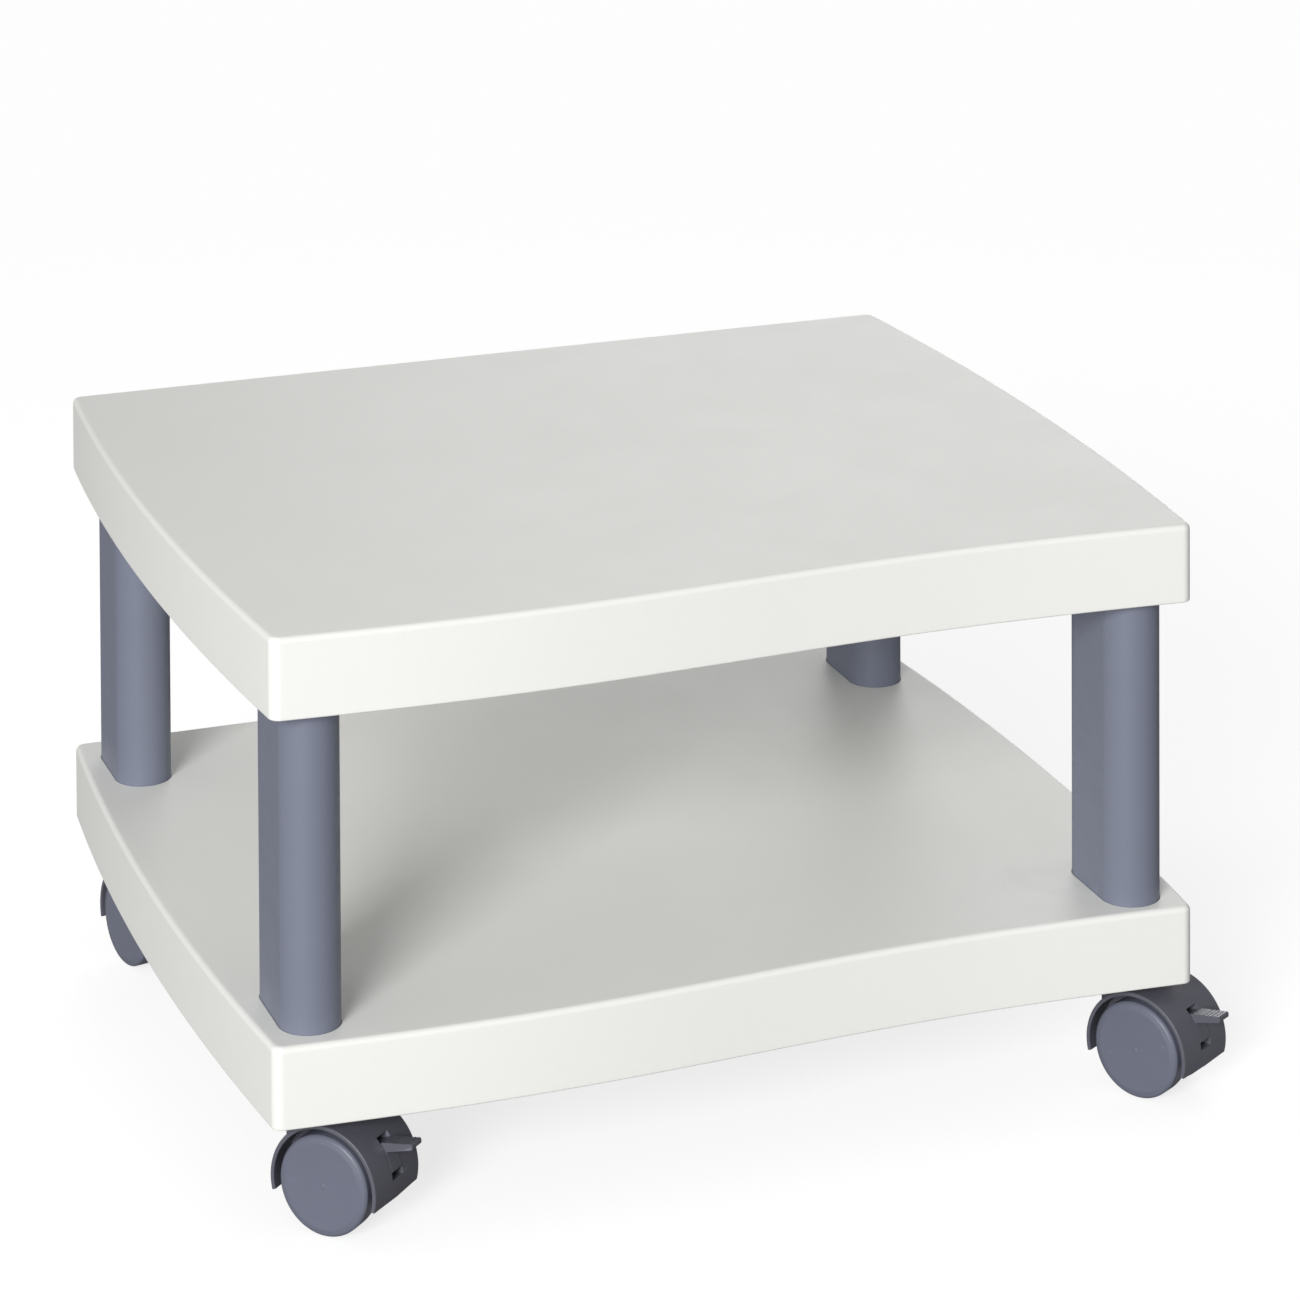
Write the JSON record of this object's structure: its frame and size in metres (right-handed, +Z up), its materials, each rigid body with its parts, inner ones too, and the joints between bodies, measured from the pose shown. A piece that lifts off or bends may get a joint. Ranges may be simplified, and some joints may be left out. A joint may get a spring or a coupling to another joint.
{
  "type": "mobile printer stand",
  "caption": "Low two-shelf stand on twin-wheel swivel casters, a wavy front edge, bowed sides and obround corner columns.",
  "frame": {"origin": "on the floor under the middle of the overall box; the shelves' own middle is at x = -0.006 m because the front right caster trails out past the shelf", "axes": "+X to the right of someone facing the stand, -Y towards them (the wavy front edge), +Z up"},
  "size_m": [0.5306, 0.4535, 0.303],
  "materials": {
    "shelf_plastic": "fine moulded grain, pale grey",
    "column_plastic": "satin, blue-grey",
    "hood_plastic": "satin, charcoal",
    "wheel_plastic": "satin, blue-grey nylon",
    "socket_plastic": "satin, black nylon",
    "zinc_steel": "zinc plated"
  },
  "bodies": {
    "stand": {"top_shelf": "shelf_plastic", "lower_shelf": "shelf_plastic", "column_front_left": "column_plastic", "column_front_right": "column_plastic", "column_rear_left": "column_plastic", "column_rear_right": "column_plastic", "caster_socket_front_left": "socket_plastic", "caster_stem_front_left": "zinc_steel", "grip_ring_front_left": "zinc_steel", "caster_socket_front_right": "socket_plastic", "caster_stem_front_right": "zinc_steel", "grip_ring_front_right": "zinc_steel", "caster_socket_rear_left": "socket_plastic", "caster_stem_rear_left": "zinc_steel", "grip_ring_rear_left": "zinc_steel", "caster_socket_rear_right": "socket_plastic", "caster_stem_rear_right": "zinc_steel", "grip_ring_rear_right": "zinc_steel"},
    "caster_front_left": {"caster_hood_front_left": "hood_plastic", "axle_front_left": "zinc_steel", "brake_pin_front_left": "zinc_steel"},
    "wheel_outer_front_left": {"wheel_outer_front_left": "wheel_plastic"},
    "wheel_inner_front_left": {"wheel_inner_front_left": "wheel_plastic"},
    "brake_lever_front_left": {"brake_lever_front_left": "hood_plastic"},
    "caster_front_right": {"caster_hood_front_right": "hood_plastic", "axle_front_right": "zinc_steel", "brake_pin_front_right": "zinc_steel"},
    "wheel_outer_front_right": {"wheel_outer_front_right": "wheel_plastic"},
    "wheel_inner_front_right": {"wheel_inner_front_right": "wheel_plastic"},
    "brake_lever_front_right": {"brake_lever_front_right": "hood_plastic"},
    "caster_rear_left": {"caster_hood_rear_left": "hood_plastic", "axle_rear_left": "zinc_steel"},
    "wheel_outer_rear_left": {"wheel_outer_rear_left": "wheel_plastic"},
    "wheel_inner_rear_left": {"wheel_inner_rear_left": "wheel_plastic"},
    "caster_rear_right": {"caster_hood_rear_right": "hood_plastic", "axle_rear_right": "zinc_steel"},
    "wheel_outer_rear_right": {"wheel_outer_rear_right": "wheel_plastic"},
    "wheel_inner_rear_right": {"wheel_inner_rear_right": "wheel_plastic"}
  },
  "joints": [
    {"name": "swivel_front_left", "type": "hinge", "parent": "stand", "child": "caster_front_left", "pos_m": [-0.2297, -0.1695, 0.056], "axis": [0, 0, 1], "continuous": true},
    {"name": "spin_wheel_outer_front_left", "type": "hinge", "parent": "caster_front_left", "child": "wheel_outer_front_left", "pos_m": [-0.22373, -0.19812, 0.025], "axis": [0.7314, 0.682, 0], "continuous": true},
    {"name": "spin_wheel_inner_front_left", "type": "hinge", "parent": "caster_front_left", "child": "wheel_inner_front_left", "pos_m": [-0.20157, -0.17745, 0.025], "axis": [0.7314, 0.682, 0], "continuous": true},
    {"name": "press_brake_lever_front_left", "type": "hinge", "parent": "caster_front_left", "child": "brake_lever_front_left", "pos_m": [-0.20003, -0.20131, 0.0375], "axis": [0.7314, 0.682, 0], "range_deg": [0, 14]},
    {"name": "swivel_front_right", "type": "hinge", "parent": "stand", "child": "caster_front_right", "pos_m": [0.2177, -0.1695, 0.056], "axis": [0, 0, 1], "continuous": true},
    {"name": "spin_wheel_outer_front_right", "type": "hinge", "parent": "caster_front_right", "child": "wheel_outer_front_right", "pos_m": [0.21835, -0.19873, 0.025], "axis": [0.8434, 0.5373, 0], "continuous": true},
    {"name": "spin_wheel_inner_front_right", "type": "hinge", "parent": "caster_front_right", "child": "wheel_inner_front_right", "pos_m": [0.24391, -0.18244, 0.025], "axis": [0.8434, 0.5373, 0], "continuous": true},
    {"name": "press_brake_lever_front_right", "type": "hinge", "parent": "caster_front_right", "child": "brake_lever_front_right", "pos_m": [0.24107, -0.20619, 0.0375], "axis": [0.8434, 0.5373, 0], "range_deg": [0, 14]},
    {"name": "swivel_rear_left", "type": "hinge", "parent": "stand", "child": "caster_rear_left", "pos_m": [-0.2297, 0.179, 0.056], "axis": [0, 0, 1], "continuous": true},
    {"name": "spin_wheel_outer_rear_left", "type": "hinge", "parent": "caster_rear_left", "child": "wheel_outer_rear_left", "pos_m": [-0.23835, 0.15108, 0.025], "axis": [0.9703, 0.2419, 0], "continuous": true},
    {"name": "spin_wheel_inner_rear_left", "type": "hinge", "parent": "caster_rear_left", "child": "wheel_inner_rear_left", "pos_m": [-0.20895, 0.15841, 0.025], "axis": [0.9703, 0.2419, 0], "continuous": true},
    {"name": "swivel_rear_right", "type": "hinge", "parent": "stand", "child": "caster_rear_right", "pos_m": [0.2177, 0.179, 0.056], "axis": [0, 0, 1], "continuous": true},
    {"name": "spin_wheel_outer_rear_right", "type": "hinge", "parent": "caster_rear_right", "child": "wheel_outer_rear_right", "pos_m": [0.21861, 0.14978, 0.025], "axis": [0.8387, 0.5446, 0], "continuous": true},
    {"name": "spin_wheel_inner_rear_right", "type": "hinge", "parent": "caster_rear_right", "child": "wheel_inner_rear_right", "pos_m": [0.24402, 0.16628, 0.025], "axis": [0.8387, 0.5446, 0], "continuous": true}
  ]
}
